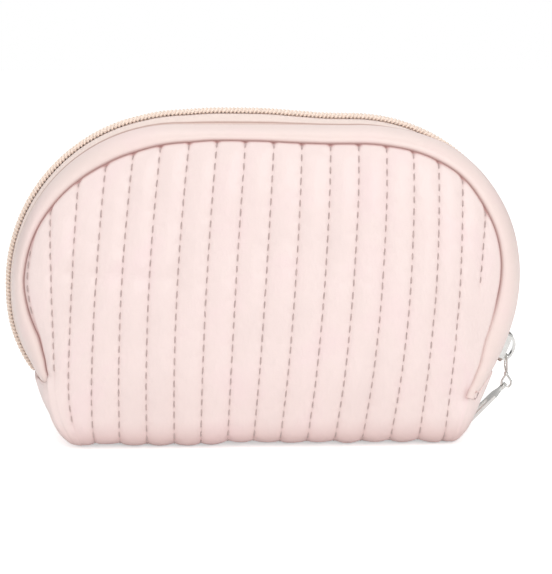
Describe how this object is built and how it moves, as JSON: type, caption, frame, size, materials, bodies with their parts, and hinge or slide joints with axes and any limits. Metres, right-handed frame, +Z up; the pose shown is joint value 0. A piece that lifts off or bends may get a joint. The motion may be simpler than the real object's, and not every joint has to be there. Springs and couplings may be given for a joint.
{
  "type": "makeup bag",
  "caption": "Half-moon padded makeup bag with a quilted outer skin, a gusset and zip round its arch, and a metal slider with a wire link and flat pull.",
  "frame": {"origin": "middle of the flat underside", "axes": "+X along the bag's width towards the end where the slider rests, +Y from the front panel to the rear panel, +Z up"},
  "size_m": [0.201, 0.0666, 0.1265],
  "materials": {
    "faux_leather": "soft satin, smooth",
    "wadding": "soft polyester wadding",
    "lining_cloth": "fine woven, matt",
    "binding_tape": "woven tape",
    "thread": "twisted polyester thread",
    "zip_tape": "fine herringbone weave",
    "zip_coil": "nylon",
    "polished_metal": "polished plate",
    "spring_steel": "bare"
  },
  "bodies": {
    "front_half": {"front_panel": "faux_leather", "front_padding": "wadding", "front_lining": "lining_cloth", "front_quilting_thread": "thread", "front_gusset_strip": "faux_leather", "front_gusset_lining": "lining_cloth", "front_seam_binding": "binding_tape", "front_zipper_tape": "zip_tape", "front_zipper_coil": "zip_coil"},
    "rear_half": {"rear_panel": "faux_leather", "rear_padding": "wadding", "rear_lining": "lining_cloth", "rear_quilting_thread": "thread", "rear_gusset_strip": "faux_leather", "rear_gusset_lining": "lining_cloth", "rear_seam_binding": "binding_tape", "rear_zipper_tape": "zip_tape", "rear_zipper_coil": "zip_coil"},
    "base": {"base_panel": "faux_leather", "base_padding": "wadding", "base_lining": "lining_cloth", "right_end_tab": "faux_leather", "left_end_tab": "faux_leather", "right_end_tab_lining": "lining_cloth", "left_end_tab_lining": "lining_cloth", "end_seam_thread": "thread"},
    "slider": {"slider_body": "polished_metal", "slider_cap": "polished_metal", "slider_lock_spring": "spring_steel"},
    "pull_link": {"pull_link": "polished_metal"},
    "pull_plate": {"pull_plate": "polished_metal"}
  },
  "joints": [
    {"name": "front_open", "type": "hinge", "parent": "base", "child": "front_half", "pos_m": [0, -0.027, 0.001], "axis": [1, 0, 0], "range_deg": [0, 20], "stiffness_Nm_per_rad": 0.05, "deforming": ["front_zipper_tape", "front_zipper_coil"]},
    {"name": "rear_open", "type": "hinge", "parent": "base", "child": "rear_half", "pos_m": [0, 0.027, 0.001], "axis": [1, 0, 0], "range_deg": [-20, 0], "stiffness_Nm_per_rad": 0.05, "deforming": ["rear_zipper_tape", "rear_zipper_coil"]},
    {"name": "slider_travel", "type": "hinge", "parent": "base", "child": "slider", "pos_m": [0.0335, 0, 0.0595], "axis": [0, -1, 0], "range_deg": [0, 110], "deforming": ["front_zipper_tape", "front_zipper_coil", "rear_zipper_tape", "rear_zipper_coil"]},
    {"name": "link_swing", "type": "hinge", "parent": "slider", "child": "pull_link", "pos_m": [0.09666, 0, 0.02991], "axis": [0, 1, 0], "range_deg": [-115, 1.5]},
    {"name": "plate_swing", "type": "hinge", "parent": "pull_link", "child": "pull_plate", "pos_m": [0.09703, 0, 0.01811], "axis": [0, 1, 0], "range_deg": [-95, 1.5]}
  ],
  "couplings": [
    {"joint": "rear_open", "follows": "front_open", "ratio": -1}
  ]
}
